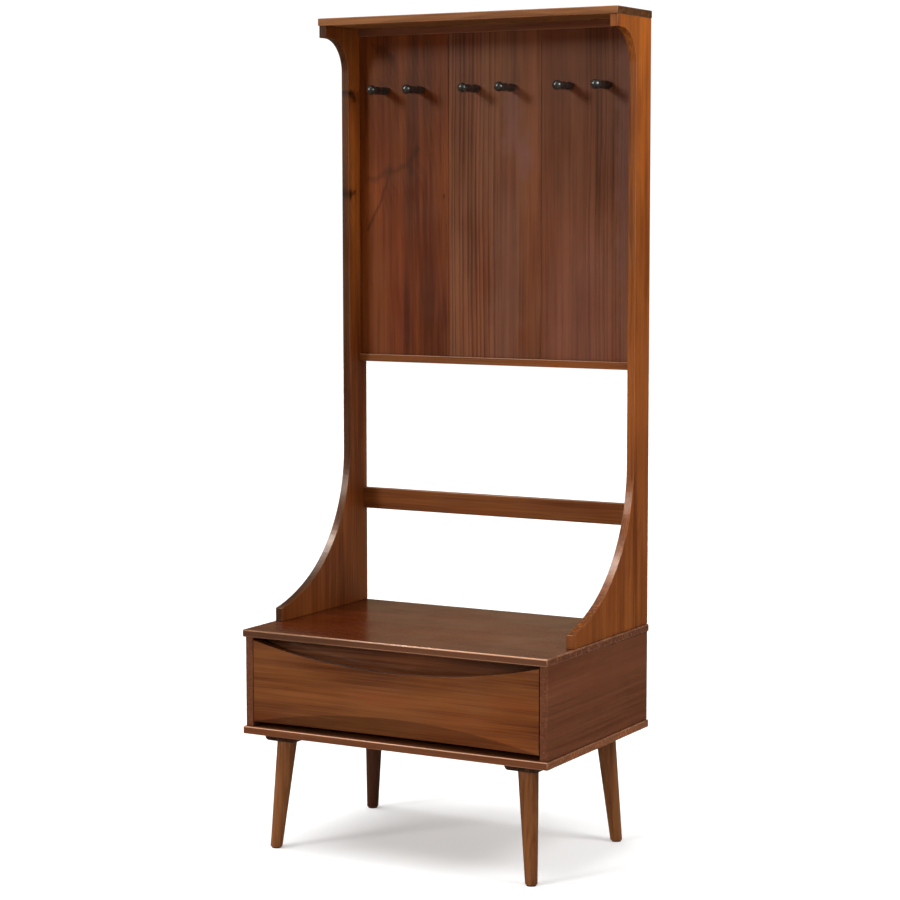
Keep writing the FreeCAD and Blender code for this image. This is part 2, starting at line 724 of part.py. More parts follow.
def drawer_back_and_bottom():
    inner = "(box_half_width - box_board)"
    groove = "(box_lower + box_lip)"
    shelf = f"({groove} + box_panel + fit_gap)"
    base = (f"-{inner}", "box_rear - box_board", shelf)
    item = plank("drawer_back", *base, f"2 * {inner}", "box_board",
                 f"box_lower + box_side_height - {shelf}")
    for start in (f"-{inner}", f"{inner} - small_dowel_length"):
        drill_across(item, base, BOX_BACK_DOWELS, SMALL_DOWEL_HOLE, start, "small_dowel_length")
    edge = f"({inner} + box_board / 2 - fit_gap)"
    front = f"({BOX_INSIDE} - box_board / 2 + fit_gap)"
    plank("drawer_bottom", f"-{edge}", front, f"{groove} + fit_gap / 2", f"2 * {edge}",
          f"box_rear - {front}", "box_panel")


def front_spacers():
    """Blocks that hold the scooped front off the box and leave room for fingers behind its edge."""
    for side, sign in SIDES:
        left = "-box_half_width" if sign else "box_half_width - spacer_width"
        base = (left, DRAWER_BACK_FACE, "box_lower + box_lip")
        item = plank(f"front_spacer_{side}", *base, "spacer_width", "finger_space", "spacer_height")
        centres = [(x, z) for x, z in FRONT_SCREWS if x.startswith("-") == bool(sign)]
        drill_back(item, base, centres, SCREW_HOLE, DRAWER_BACK_FACE, "finger_space")
    span = "(box_half_width - spacer_width)"
    plank("front_spacer_rail", f"-{span}", DRAWER_BACK_FACE, "box_lower + box_lip", f"2 * {span}",
          "finger_space", "spacer_width")


def channel(label, sign, back, web, tips, half):
    """Folded steel channel along Y: its web lies between back and web, its flanges end at tips."""
    base = ("0", "runner_length / 2", "0")
    item = body(label, *base)
    profile = [
        (back, f"{RUNNER_MIDDLE} - {half}"),
        (tips, f"{RUNNER_MIDDLE} - {half}"),
        (tips, f"{RUNNER_MIDDLE} - {half} + runner_sheet"),
        (web, f"{RUNNER_MIDDLE} - {half} + runner_sheet"),
        (web, f"{RUNNER_MIDDLE} + {half} - runner_sheet"),
        (tips, f"{RUNNER_MIDDLE} + {half} - runner_sheet"),
        (tips, f"{RUNNER_MIDDLE} + {half}"),
        (back, f"{RUNNER_MIDDLE} + {half}"),
    ]
    corners = [(f"{sign}({x})", z) for x, z in profile]
    pad(item, outline(sketch(item, "XZ_Plane"), corners), "runner_length")
    rows = [(y, RUNNER_MIDDLE) for y in RUNNER_SCREWS]
    near, far = sorted((back, web), key=value)
    start = f"-({far})" if sign else near
    drill_across(item, base, rows, HEAD_HOLE, start, "runner_sheet")


def runners():
    for side, sign in SIDES:
        channel(f"{side}_cabinet_runner", sign, INNER, f"{INNER} - runner_sheet",
                f"{INNER} - runner_flange", "runner_height / 2")
        channel(f"{side}_drawer_runner", sign, "box_half_width", "box_half_width + runner_sheet",
                "box_half_width + runner_flange", "(runner_height / 2 - runner_sheet - runner_gap)")


# ---- fasteners, each kind a group of separate solids ----
def standing_dowels(centres, start):
    length = "dowel_length - 2 * fit_gap"
    return [rod(x, y, f"{start} + fit_gap", "dowel_radius", length, UP) for x, y in centres]


def fasteners():
    ends = [(f"{sign}{UPRIGHT_LINE}", y) for _, sign in SIDES for y in SIDE_DOWELS]
    rest = "(dowel_length - panel_dowel_bite)"
    above = standing_dowels(ends, f"{SEAT_UNDER} - {rest}")
    below = standing_dowels(ends, f"{BASE_TOP} - panel_dowel_bite")
    group("panel_dowels", above + below)
    group("upright_dowels", standing_dowels(UPRIGHT_DOWELS, "seat_height - panel_dowel_bite"))
    group("cap_dowels", standing_dowels(CAP_DOWELS, f"{CAP_UNDER} - {rest}"))
    rail_rods = []
    for start in (f"-{INNER} - dowel_length / 2 + fit_gap", f"{INNER} - dowel_length / 2 + fit_gap"):
        for y, z in RAIL_DOWELS:
            rail_rods.append(rod(start, y, z, "dowel_radius", "dowel_length - 2 * fit_gap", RIGHT))
    group("rail_dowels", rail_rods)
    group("cleat_screws", [screw(x, y, CLEAT_UNDER, "board + panel_dowel_bite - end_gap", UP)
                           for x, y in CLEAT_SCREWS])
    group("drawer_front_screws", [screw(x, BOX_INSIDE, z, FRONT_SCREW_LENGTH, FORWARD)
                                  for x, z in FRONT_SCREWS])
    box_rods = [rod(x, f"{BOX_INSIDE} - small_dowel_bite + fit_gap", z, "small_dowel_radius",
                    "small_dowel_bite + small_dowel_length - 2 * fit_gap", REARWARD)
                for x, z in BOX_FRONT_DOWELS]
    inner = "(box_half_width - box_board)"
    for start in (f"-{inner} - small_dowel_bite", f"{inner} - small_dowel_length"):
        for y, z in BOX_BACK_DOWELS:
            box_rods.append(rod(f"{start} + fit_gap", y, z, "small_dowel_radius",
                                "small_dowel_bite + small_dowel_length - 2 * fit_gap", RIGHT))
    group("drawer_dowels", box_rods)
    cabinet = []
    moving = []
    for _, sign in SIDES:
        outward, inward = (LEFT, RIGHT) if sign else (RIGHT, LEFT)
        for y in RUNNER_SCREWS:
            cabinet.append(screw(f"{sign}({INNER} - runner_sheet)", y, RUNNER_MIDDLE,
                                 "runner_sheet + runner_screw_bite - fit_gap", outward))
            moving.append(screw(f"{sign}(box_half_width + runner_sheet)", y, RUNNER_MIDDLE,
                                "runner_sheet + box_screw_bite - fit_gap", inward))
    group("cabinet_runner_screws", cabinet)
    group("drawer_runner_screws", moving)


def write_parts():
    """Checks every object, then writes each piece to its own file."""
    doc.recompute()
    for item in doc.Objects:
        if {"Invalid", "Error"} & set(item.State):
            raise RuntimeError(f"{item.Name} ({item.Label}) is {item.State}")
    os.makedirs("parts", exist_ok=True)
    for item in PARTS:
        if item.Shape.isNull() or not item.Shape.isValid():
            raise RuntimeError(f"{item.Label} has no valid shape")
        item.Shape.exportStep(f"parts/{item.Label}.step")
        print(f"{item.Label}: {len(item.Shape.Solids)} solid(s), {item.Shape.Volume:.0f} mm3")


seat_and_base()
cabinet_back()
cap_board()
rails()
for side, sign in SIDES:
    side_panel(side, sign)
    drawer_stop(side, sign)
    upright(side, sign)
    cleat(side, sign)
    drawer_side(side, sign)
for name, number in (("left", -1), ("middle", 0), ("right", 1)):
    back_board(name, number)
pegs()
feet()
drawer_front()
drawer_inner_front()
drawer_back_and_bottom()
front_spacers()
runners()
fasteners()
write_parts()
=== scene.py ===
"""Looks for the hall tree: eased boards, turned pegs and legs, stained pine and a plain pale studio."""

import bmesh
import bpy
import math
import random
from mathutils import Matrix, Vector

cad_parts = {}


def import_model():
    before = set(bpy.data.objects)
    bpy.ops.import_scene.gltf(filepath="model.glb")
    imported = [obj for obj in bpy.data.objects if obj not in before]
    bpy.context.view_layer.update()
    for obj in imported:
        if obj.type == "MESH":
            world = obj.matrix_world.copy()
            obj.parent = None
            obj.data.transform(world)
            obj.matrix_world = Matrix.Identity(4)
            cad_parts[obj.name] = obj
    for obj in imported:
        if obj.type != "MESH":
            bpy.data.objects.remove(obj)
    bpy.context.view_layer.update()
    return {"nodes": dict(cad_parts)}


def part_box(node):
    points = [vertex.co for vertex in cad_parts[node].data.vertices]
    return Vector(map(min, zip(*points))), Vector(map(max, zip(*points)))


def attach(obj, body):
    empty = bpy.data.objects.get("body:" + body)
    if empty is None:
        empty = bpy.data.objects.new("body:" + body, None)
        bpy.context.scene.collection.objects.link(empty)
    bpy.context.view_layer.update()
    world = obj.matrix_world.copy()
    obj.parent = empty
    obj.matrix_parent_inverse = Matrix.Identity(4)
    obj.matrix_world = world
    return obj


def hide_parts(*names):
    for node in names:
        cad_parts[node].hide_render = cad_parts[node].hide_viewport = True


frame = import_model()

MM = 0.001
AXES = "XYZ"


# ---------------------------------------------------------------- node graphs
class Graph:
    """Short names for building one material's nodes."""

    def __init__(self, name):
        self.material = bpy.data.materials.new(name)
        self.material.use_nodes = True
        self.tree = self.material.node_tree
        self.shader = self.tree.nodes["Principled BSDF"]

    def node(self, kind, **settings):
        item = self.tree.nodes.new(kind)
        for key, setting in settings.items():
            setattr(item, key, setting)
        return item

    def feed(self, socket, source):
        if isinstance(source, bpy.types.NodeSocket):
            self.tree.links.new(source, socket)
        else:
            socket.default_value = source

    def math(self, operation, *sources, clamp=False):
        item = self.node("ShaderNodeMath", operation=operation, use_clamp=clamp)
        for index, source in enumerate(sources):
            self.feed(item.inputs[index], source)
        return item.outputs[0]

    def vector(self, x, y, z):
        item = self.node("ShaderNodeCombineXYZ")
        for socket, source in zip(item.inputs, (x, y, z)):
            self.feed(socket, source)
        return item.outputs[0]

    def noise(self, vector, scale=1.0, detail=2.0, roughness=0.5):
        item = self.node("ShaderNodeTexNoise")
        self.feed(item.inputs["Vector"], vector)
        item.inputs["Scale"].default_value = scale
        item.inputs["Detail"].default_value = detail
        item.inputs["Roughness"].default_value = roughness
        return item.outputs["Fac"]

    def remap(self, source, low, high, to_low=0.0, to_high=1.0, smooth=True):
        item = self.node("ShaderNodeMapRange")
        item.interpolation_type = "SMOOTHSTEP" if smooth else "LINEAR"
        self.feed(item.inputs["Value"], source)
        for key, value in zip(("From Min", "From Max", "To Min", "To Max"), (low, high, to_low, to_high)):
            item.inputs[key].default_value = value
        return item.outputs["Result"]

    def mix(self, factor, first, second, blend="MIX"):
        item = self.node("ShaderNodeMix", data_type="RGBA", blend_type=blend)
        self.feed(item.inputs["Factor"], factor)
        for key, source in ((6, first), (7, second)):
            if isinstance(source, (tuple, list)):
                source = (*source, 1.0)
            self.feed(item.inputs[key], source)
        return item.outputs[2]

    def bump(self, height, strength, distance):
        item = self.node("ShaderNodeBump")
        item.inputs["Strength"].default_value = strength
        item.inputs["Distance"].default_value = distance
        self.feed(item.inputs["Height"], height)
        self.feed(self.shader.inputs["Normal"], item.outputs["Normal"])

    def set(self, **values):
        for key, value in values.items():
            self.shader.inputs[key.replace("_", " ")].default_value = value


def dimmed(colour, share):
    return tuple(share * v for v in colour)


def linear(red, green, blue):
    """Display colour, 0 to 255, as the linear colour that the shader takes."""
    return tuple((v / 255 / 12.92) if v <= 10 else ((v / 255 + 0.055) / 1.055) ** 2.4
                 for v in (red, green, blue))


# ---------------------------------------------------------------- stained pine
GREY_BLOOM = linear(92, 58, 52)
GOLD_GLOW = (1.32, 1.28, 1.10)
# darkening of marked faces: a darker tone, and painted shade on the drawer front's lower bevel
DARK_TONE_AND_SHADE = (0.34, 0.35, 0.42)
WARM_STAIN = (1.0, 0.74, 0.52)
# colour of the arrises: partly wear, partly a painted highlight
EDGE_WEAR_AND_HIGHLIGHT = linear(188, 142, 112)


def knot_fields(g, along, across, knots):
    """(pull, core): how far each knot bends the rings around it, and where its own dark wood lies."""
    pull = 0.0
    core = 0.0
    for place, offset, size, depth in knots:
        run = g.math("MULTIPLY", g.math("SUBTRACT", along, place), 1.0 / (2.4 * size))
        side = g.math("MULTIPLY", g.math("SUBTRACT", across, offset), 1.0 / size)
        far = g.math("SQRT", g.math("ADD", g.math("MULTIPLY", run, run), g.math("MULTIPLY", side, side)))
        bend = g.math("MULTIPLY", g.remap(far, 0.0, 3.4, 1.0, 0.0), 1.2 * size)
        dark = g.remap(far, 0.2, 0.75, depth, 0.0)
        pull = g.math("ADD", bend, pull)
        core = g.math("MAXIMUM", dark, core)
    return pull, core


def crease_field(g, along, across, creases):
    """How strongly each straight dark crease, from one point to another on the board, shows."""
    field = 0.0
    for start, end, width, depth in creases:
        run = (end[0] - start[0], end[1] - start[1])
        reach = run[0] ** 2 + run[1] ** 2
        past_along = g.math("SUBTRACT", along, start[0])
        past_across = g.math("SUBTRACT", across, start[1])
        share = g.math("ADD", g.math("MULTIPLY", past_along, run[0] / reach),
                       g.math("MULTIPLY", past_across, run[1] / reach), clamp=True)
        off_along = g.math("MULTIPLY_ADD", share, -run[0], past_along)
        off_across = g.math("MULTIPLY_ADD", share, -run[1], past_across)
        far = g.math("SQRT", g.math("ADD", g.math("MULTIPLY", off_along, off_along),
                                    g.math("MULTIPLY", off_across, off_across)))
        field = g.math("MAXIMUM", g.remap(far, 0.0, width, depth, 0.0), field)
    return field


def bloom_field(g, along, across, blooms):
    """How strongly each long cloudy patch of the stain shows."""
    field = 0.0
    for place, offset, length, breadth, depth in blooms:
        run = g.math("MULTIPLY", g.math("SUBTRACT", along, place), 1.0 / length)
        side = g.math("MULTIPLY", g.math("SUBTRACT", across, offset), 1.0 / breadth)
        far = g.math("ADD", g.math("MULTIPLY", run, run), g.math("MULTIPLY", side, side))
        field = g.math("MAXIMUM", g.remap(far, 0.0, 1.0, depth, 0.0), field)
    return field


def wood(name, grain, wide, tones, seed, centre=(0.0, 0.0), ring=6.0, figure=1.0, blotch=1.0, waver=0.004,
         lean=0.0, knots=(), creases=(), blooms=(), glows=(), striped=None, rough=0.36, coat=0.06, wear_and_highlight=1.0,
         ends=0.75, end_tone=None, edge_tone=None, warmth=0.55):
    """Pine cut from a log along one axis: growth rings round a pith near centre, fibres, streaks, knots,
    a blotchy stain in three tones, and a satin lacquer made paler along the arrises, partly as wear
    and partly as a painted highlight that is strongest where the arrises face up.
    striped is the span across the board where the rings are plain; blooms are greyer, glows more golden.
    edge_tone is the colour of the long narrow edges, where it differs from the face."""
    g = Graph(name)
    draw = random.Random(seed)
    place = g.node("ShaderNodeTexCoord")
    split = g.node("ShaderNodeSeparateXYZ")
    g.feed(split.inputs[0], place.outputs["Object"])
    thick = next(axis for axis in AXES if axis not in (grain, wide))
    along, across, deep = (split.outputs[axis] for axis in (grain, wide, thick))
    shift = draw.uniform(3.0, 90.0)

    def streaks(run, pitch, detail, roughness=0.6):
        """Noise drawn out along the grain: run and pitch are its rates along and across it."""
        vector = g.vector(g.math("MULTIPLY_ADD", along, run, shift), g.math("MULTIPLY", across, pitch),
                          g.math("MULTIPLY", deep, pitch))
        return g.math("SUBTRACT", g.noise(vector, detail=detail, roughness=roughness), 0.5)

    drift = g.noise(g.vector(g.math("MULTIPLY", along, 1.7), shift, 0.0), detail=1.0)
    drift = g.math("MULTIPLY", g.math("SUBTRACT", drift, 0.5), 9.0 * waver)
    wobble = g.noise(g.vector(g.math("MULTIPLY", along, 5.0), g.math("MULTIPLY", across, 22.0), shift))
    wobble = g.math("MULTIPLY", g.math("SUBTRACT", wobble, 0.5), 2.0 * waver)
    off_across = g.math("ADD", g.math("SUBTRACT", across, centre[0]), drift)
    off_across = g.math("MULTIPLY_ADD", along, lean, off_across)
    off_deep = g.math("SUBTRACT", deep, centre[1])
    radius = g.math("SQRT", g.math("ADD", g.math("MULTIPLY", off_across, off_across),
                                   g.math("MULTIPLY", off_deep, off_deep)))
    radius = g.math("ADD", radius, wobble)
    core = 0.0
    if knots:
        pull, core = knot_fields(g, along, across, knots)
        radius = g.math("ADD", radius, pull)
    uneven = g.noise(g.vector(g.math("MULTIPLY", radius, 55.0), shift, 4.0), detail=1.0)
    turns = g.math("MULTIPLY_ADD", uneven, 2.4, g.math("MULTIPLY", radius, 1000.0 / ring))
    year = g.math("FRACT", turns)
    late = g.math("MULTIPLY", g.remap(year, 0.3, 0.88), g.remap(year, 0.9, 1.0, 1.0, 0.0))
    if striped:
        low, high = striped
        plain = g.math("MULTIPLY", g.remap(across, low - 0.02, low, 0.15, 1.0),
                       g.remap(across, high, high + 0.03, 1.0, 0.15))
        late = g.math("MULTIPLY", late, plain)

    fibre = streaks(9.0, 620.0, 2.0)
    band = streaks(1.3, 34.0, 3.0)
    streak = streaks(2.2, 150.0, 2.0)
    stain = streaks(3.0, 8.0, 3.0, roughness=0.5)
    tone = g.math("MULTIPLY_ADD", stain, 1.3 * blotch, 0.55 + 0.08 * figure)
    for source, weight in ((band, 1.6 * blotch), (streak, 1.2), (fibre, 0.5), (late, -0.28 * figure)):
        tone = g.math("MULTIPLY_ADD", source, weight, tone)
    tone = g.math("MINIMUM", g.math("MAXIMUM", tone, 0.0), 1.0)
    dark, middle, light = tones
    colour = g.mix(g.remap(tone, 0.0, 0.5, smooth=False), dark, middle)
    colour = g.mix(g.remap(tone, 0.5, 1.0, smooth=False), colour, light)
    warm = g.noise(g.vector(g.math("MULTIPLY_ADD", along, 2.1, shift), g.math("MULTIPLY", across, 13.0),
                            shift))
    colour = g.mix(g.remap(warm, 0.45, 0.7, 0.0, warmth * blotch), colour, WARM_STAIN, blend="MULTIPLY")
    if blooms or glows or creases:
        sway = g.noise(g.vector(g.math("MULTIPLY", along, 26.0), g.math("MULTIPLY", across, 30.0), shift),
                       detail=3.0)
        sway = g.math("MULTIPLY", g.math("SUBTRACT", sway, 0.5), 0.055)
        loose_along = g.math("ADD", along, sway)
        loose_across = g.math("MULTIPLY_ADD", sway, 0.7, across)
        colour = g.mix(bloom_field(g, loose_along, loose_across, blooms), colour, GREY_BLOOM)
        colour = g.mix(bloom_field(g, loose_along, loose_across, glows), colour, GOLD_GLOW, blend="MULTIPLY")
        creased = crease_field(g, loose_along, loose_across, creases)
        colour = g.mix(creased, colour, dimmed(dark, 0.4))
    if knots:
        colour = g.mix(core, colour, dimmed(dark, 0.25))

    turned = g.node("ShaderNodeSeparateXYZ")
    g.feed(turned.inputs[0], place.outputs["Normal"])
    end_facing = g.math("ABSOLUTE", turned.outputs[grain])
    cut = g.remap(end_facing, 0.6, 0.95)
    pores = g.noise(g.vector(g.math("MULTIPLY", across, 330.0), g.math("MULTIPLY", deep, 120.0), shift))
    end_dark = end_tone or dimmed(middle, 0.42)
    end_light = dimmed(end_tone, 2.6) if end_tone else dimmed(light, 1.5)
    end_grain = g.mix(g.remap(pores, 0.5, 0.68), end_dark, end_light)
    colour = g.mix(g.math("MULTIPLY", cut, ends), colour, end_grain)
    if edge_tone:
        side_on = g.remap(g.math("ABSOLUTE", turned.outputs[wide]), 0.6, 0.95)
        edging = g.mix(g.remap(band, -0.2, 0.2), dimmed(edge_tone, 0.75), dimmed(edge_tone, 1.2))
        colour = g.mix(side_on, colour, edging)
    edge = g.node("ShaderNodeAttribute", attribute_name="arris").outputs["Fac"]
    # arris colour, partly wear and partly a painted highlight: lighter where the arrises face up, as lamps
    # above catch them, and less on end grain
    rubbed = g.math("MULTIPLY", edge, g.remap(band, -0.12, 0.15, 0.2 * wear_and_highlight, 0.5 * wear_and_highlight))
    rubbed = g.math("MULTIPLY", rubbed, g.remap(turned.outputs["Z"], -0.3, 0.5, 0.3, 1.0))
    rubbed = g.math("MULTIPLY", rubbed, g.remap(end_facing, 0.15, 0.5, 1.0, 0.35))
    colour = g.mix(rubbed, colour, EDGE_WEAR_AND_HIGHLIGHT)
    # marked faces are darkened; on the drawer front's lower bevel this is painted shade
    shade = g.node("ShaderNodeAttribute", attribute_name="dark_tone_and_painted_shade").outputs["Fac"]
    colour = g.mix(shade, colour, DARK_TONE_AND_SHADE, blend="MULTIPLY")
    g.feed(g.shader.inputs["Base Color"], colour)

    polish = g.noise(place.outputs["Object"], scale=11.0, detail=3.0)
    gloss = g.math("MULTIPLY_ADD", fibre, 0.18, g.remap(polish, 0.3, 0.7, rough - 0.05, rough + 0.06))
    g.feed(g.shader.inputs["Roughness"], gloss)
    g.set(Specular_IOR_Level=0.24, Specular_Tint=(1.0, 0.74, 0.54, 1.0), Coat_Weight=coat,
          Coat_Roughness=0.14)
    g.bump(g.math("MULTIPLY_ADD", fibre, 0.6, g.math("MULTIPLY", late, 0.4)), 0.25, 0.0004)
    return g.material


# ---------------------------------------------------------------- metals and plastic
def bronze(name):
    """Dark oil-rubbed bronze: nearly black lacquer, paler where it thins, finely pitted."""
    g = Graph(name)
    place = g.node("ShaderNodeTexCoord").outputs["Object"]
    patches = g.noise(place, scale=120.0, detail=4.0, roughness=0.6)
    specks = g.noise(place, scale=900.0)
    colour = g.mix(g.remap(patches, 0.45, 0.75), linear(30, 32, 30), linear(50, 50, 44))
    g.feed(g.shader.inputs["Base Color"], colour)
    g.feed(g.shader.inputs["Roughness"], g.remap(patches, 0.3, 0.8, 0.34, 0.46))
    g.set(Metallic=0.3, Specular_IOR_Level=0.7, Coat_Weight=0.8, Coat_Roughness=0.16)
    g.bump(g.math("ADD", g.math("MULTIPLY", specks, 0.4), patches), 0.12, 0.0002)
    return g.material


def steel(name, tint):
    """Zinc-plated steel: bluish grey with rolled streaks and cloudy passivation."""
    g = Graph(name)
    place = g.node("ShaderNodeTexCoord").outputs["Object"]
    split = g.node("ShaderNodeSeparateXYZ")
    g.feed(split.inputs[0], place)
    rolled = g.noise(g.vector(g.math("MULTIPLY", split.outputs["X"], 300.0),
                              g.math("MULTIPLY", split.outputs["Y"], 12.0),
                              g.math("MULTIPLY", split.outputs["Z"], 900.0)), detail=3.0)
    cloud = g.noise(place, scale=60.0, detail=3.0)
    colour = g.mix(g.remap(cloud, 0.35, 0.7), dimmed(tint, 0.7), tint)
    g.feed(g.shader.inputs["Base Color"], colour)
    g.feed(g.shader.inputs["Roughness"], g.remap(rolled, 0.3, 0.7, 0.26, 0.42))
    g.set(Metallic=1.0)
    g.bump(rolled, 0.15, 0.0002)
    return g.material


def nylon(name):
    """Dark moulded nylon with a fine grain and scuffs."""
    g = Graph(name)
    place = g.node("ShaderNodeTexCoord").outputs["Object"]
    grain = g.noise(place, scale=1400.0)
    scuff = g.noise(place, scale=160.0, detail=4.0)
    colour = g.mix(g.remap(scuff, 0.45, 0.75), linear(38, 34, 31), linear(70, 62, 55))
    g.feed(g.shader.inputs["Base Color"], colour)
    g.feed(g.shader.inputs["Roughness"], g.remap(scuff, 0.3, 0.8, 0.42, 0.62))
    g.bump(grain, 0.2, 0.0002)
    return g.material


# red, green and blue of the darkest and the lightest tone, as shares of the middle one
DARKEST = (0.52, 0.42, 0.38)
LIGHTEST = (1.40, 1.55, 1.70)


def stained(red, green, blue):
    """Darkest, middle and lightest tone of one stain, from its display colour."""
    middle = linear(red, green, blue)
    dark = tuple(v * share for v, share in zip(middle, DARKEST))
    light = tuple(v * share for v, share in zip(middle, LIGHTEST))
    return dark, middle, light


# one display colour for each stain
PANEL_RED = stained(82, 35, 9)
PANEL = stained(81, 43, 24)
PANEL_RIGHT = stained(73, 35, 18)
CAP = stained(108, 64, 31)
RAIL = stained(95, 49, 17)
BASE = stained(84, 45, 24)
SEAT = stained(68, 25, 5)
UPRIGHT = stained(103, 51, 13)
INNER_UPRIGHT = stained(103, 52, 18)
CARCASS = stained(86, 46, 27)
INNER_FRONT = stained(97, 55, 31)
DRAWER = stained(89, 46, 16)
LEG = stained(100, 58, 28)
# the rear left leg's tone is darkened as painted shade, standing in for the shadow it stands in under the
# bench
PAINTED_SHADE_LEG = stained(53, 26, 15)
CLEAT = stained(50, 27, 15)
RAW = stained(190, 150, 100)
PLY = stained(158, 114, 76)


# ---------------------------------------------------------------- pieces
EASING = 1.2 * MM
EASING_SEGMENTS = 3


def finish_piece(data, node, material, body):
    """Links a finished mesh as the piece that stands for its CAD node."""
    name = f"{node}_piece"
    mesh = bpy.data.meshes.new(name)
    data.to_mesh(mesh)
    data.free()
    piece = bpy.data.objects.new(name, mesh)
    bpy.context.scene.collection.objects.link(piece)
    mesh.materials.append(material)
    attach(piece, body)
    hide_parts(node)


def ease(data, width=EASING, angle=math.radians(25)):
    """Rounds every edge sharper than the angle and marks the new faces, where the colour is made paler,
    partly as wear and partly as a painted highlight.
    """
    data.normal_update()
    for face in data.faces:
        face.smooth = False
    sharp = [e for e in data.edges if len(e.link_faces) == 2 and e.calc_face_angle(0.0) > angle]
    data.faces.layers.float.new("arris")
    result = bmesh.ops.bevel(data, geom=sharp, offset=width, segments=EASING_SEGMENTS, profile=0.5,
                             affect="EDGES", clamp_overlap=True)
    layer = data.faces.layers.float["arris"]
    for face in result["faces"]:
        face[layer] = 1.0
        face.smooth = True
    return data


def mark_darker(data, chosen, amount):
    """Marks the faces that are darkened; on the drawer front's lower bevel the darkening is painted shade."""
    layer = data.faces.layers.float.new("dark_tone_and_painted_shade")
    data.normal_update()
    for face in data.faces:
        if chosen(face):
            face[layer] = amount


def lifted(point, axis, depth):
    """A point of an outline, at a depth along the axis that the outline leaves out."""
    place = list(point)
    place.insert(AXES.index(axis), depth)
    return place


def prism(outline, axis, low, high):
    """Solid between two planes across an axis; outline holds the other two coordinates, in order."""
    data = bmesh.new()
    first = [data.verts.new(lifted(point, axis, low)) for point in outline]
    last = [data.verts.new(lifted(point, axis, high)) for point in outline]
    data.faces.new(first)
    data.faces.new(list(reversed(last)))
    count = len(outline)
    for index in range(count):
        following = (index + 1) % count
        data.faces.new((first[index], last[index], last[following], first[following]))
    bmesh.ops.recalc_face_normals(data, faces=data.faces)
    return data


def arc(centre, radius, start, end, steps):
    """Points along an arc, angles in degrees."""
    for index in range(steps + 1):
        angle = math.radians(start + (end - start) * index / steps)
        yield centre[0] + radius * math.cos(angle), centre[1] + radius * math.sin(angle)


def level_ring(data, centre, radius, segments):
    """Points round a level circle."""
    angles = [2 * math.pi * i / segments for i in range(segments)]
    return [data.verts.new((centre.x + radius * math.cos(a), centre.y + radius * math.sin(a), centre.z))
            for a in angles]


def skin(data, rings):
    """Faces from each ring of points to the next; a ring of one point closes an end."""
    for lower, upper in zip(rings, rings[1:]):
        count = max(len(lower), len(upper))
        for i in range(count):
            j = (i + 1) % count
            if len(lower) == 1:
                data.faces.new((lower[0], upper[j], upper[i]))
            elif len(upper) == 1:
                data.faces.new((lower[i], lower[j], upper[0]))
            else:
                data.faces.new((lower[i], lower[j], upper[j], upper[i]))


def slab(node, material, body="hall_tree", width=EASING, dark_ends=False):
    """Board with eased edges, the size of its CAD node."""
    low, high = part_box(node)
    outline = [(low.x, low.y), (high.x, low.y), (high.x, high.y), (low.x, high.y)]
    data = prism(outline, "Z", low.z, high.z)
    if dark_ends:
        mark_darker(data, lambda face: abs(face.normal.x) > 0.5, amount=0.9)
    finish_piece(ease(data, width), node, material, body)


def dress(node, material):
    """Gives a CAD node its finish."""
    item = frame["nodes"][node]
    item.data.materials.clear()
    item.data.materials.append(material)


# ---- uprights ----
COLUMN_DEPTH = 75 * MM
NOSE_HEIGHT = 26.5 * MM
NOSE_RADIUS = 73 * MM
NOSE_SETBACK = 3.5 * MM
SWEEP_TOP = 851 * MM
SWEEP_RADIUS = 327 * MM
SWEEP_END_RADIUS = 435 * MM
SWEEP_TURN = 60


def upright(side, seed, tones, knots, creases=()):
    """Side board: nose, quarter curve, column, and the long sweep out to the seat. The left one's front edge
    is darker. Towards the top and back both are brighter and more golden, partly wood tone and partly painted
    light."""
    node = f"{side}_upright"
    low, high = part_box(node)
    cap_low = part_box("cap_board")[0]
    nose = cap_low.y + NOSE_SETBACK
    column = high.y - COLUMN_DEPTH
    nose_under = high.z - NOSE_HEIGHT
    outline = [(high.y, low.z), (high.y, high.z), (nose, high.z), (nose, nose_under)]
    outline += arc((column - NOSE_RADIUS, nose_under - NOSE_RADIUS), NOSE_RADIUS, 90, 0, 20)
    outline += arc((column - SWEEP_RADIUS, SWEEP_TOP), SWEEP_RADIUS, 0, -SWEEP_TURN, 28)
    turn = math.radians(SWEEP_TURN)
    centre_y = column - SWEEP_RADIUS + (SWEEP_RADIUS - SWEEP_END_RADIUS) * math.cos(turn)
    centre_z = SWEEP_TOP - (SWEEP_RADIUS - SWEEP_END_RADIUS) * math.sin(turn)
    last = -math.degrees(math.acos((low.y - centre_y) / SWEEP_END_RADIUS))
    outline += list(arc((centre_y, centre_z), SWEEP_END_RADIUS, -SWEEP_TURN, last, 12))[1:]
    outline.append((low.y, low.z))
    data = prism(outline, "X", low.x, high.x)
    if side == "left":
        # the left upright's front edge is darker
        mark_darker(data, lambda face: face.normal.y < -0.1, amount=1.0)
    # painted light: these glows make each upright brighter and more golden near the top, towards the back,
    # partly wood tone and partly light falling there
    glows = [(1.60, high.y - 0.03, 0.40, 0.045, 1.0), (1.05, high.y - 0.01, 0.30, 0.02, 0.2)]
    pine = wood(f"{node}_pine", "Z", "Y", tones, seed, centre=(column - 0.05, low.x - 0.06), knots=knots,
                creases=creases, glows=glows, figure=0.9, blotch=1.3, waver=0.007, wear_and_highlight=0.35, warmth=0.15)
    finish_piece(ease(data), node, pine, "hall_tree")


upright("left", 11, INNER_UPRIGHT, [(1.668, 0.182, 0.007, 0.75), (1.438, 0.180, 0.010, 0.75)],
        [((1.668, 0.168), (1.662, 0.205), 0.011, 0.85), ((1.438, 0.168), (1.436, 0.192), 0.014, 0.8)])
upright("right", 12, UPRIGHT, [(0.70, 0.19, 0.006, 0.3)])


# ---- flat boards ----
SIDE_PANEL = dict(tones=CARCASS, figure=0.15, blotch=0.3, ends=0.2, wear_and_highlight=0.35)
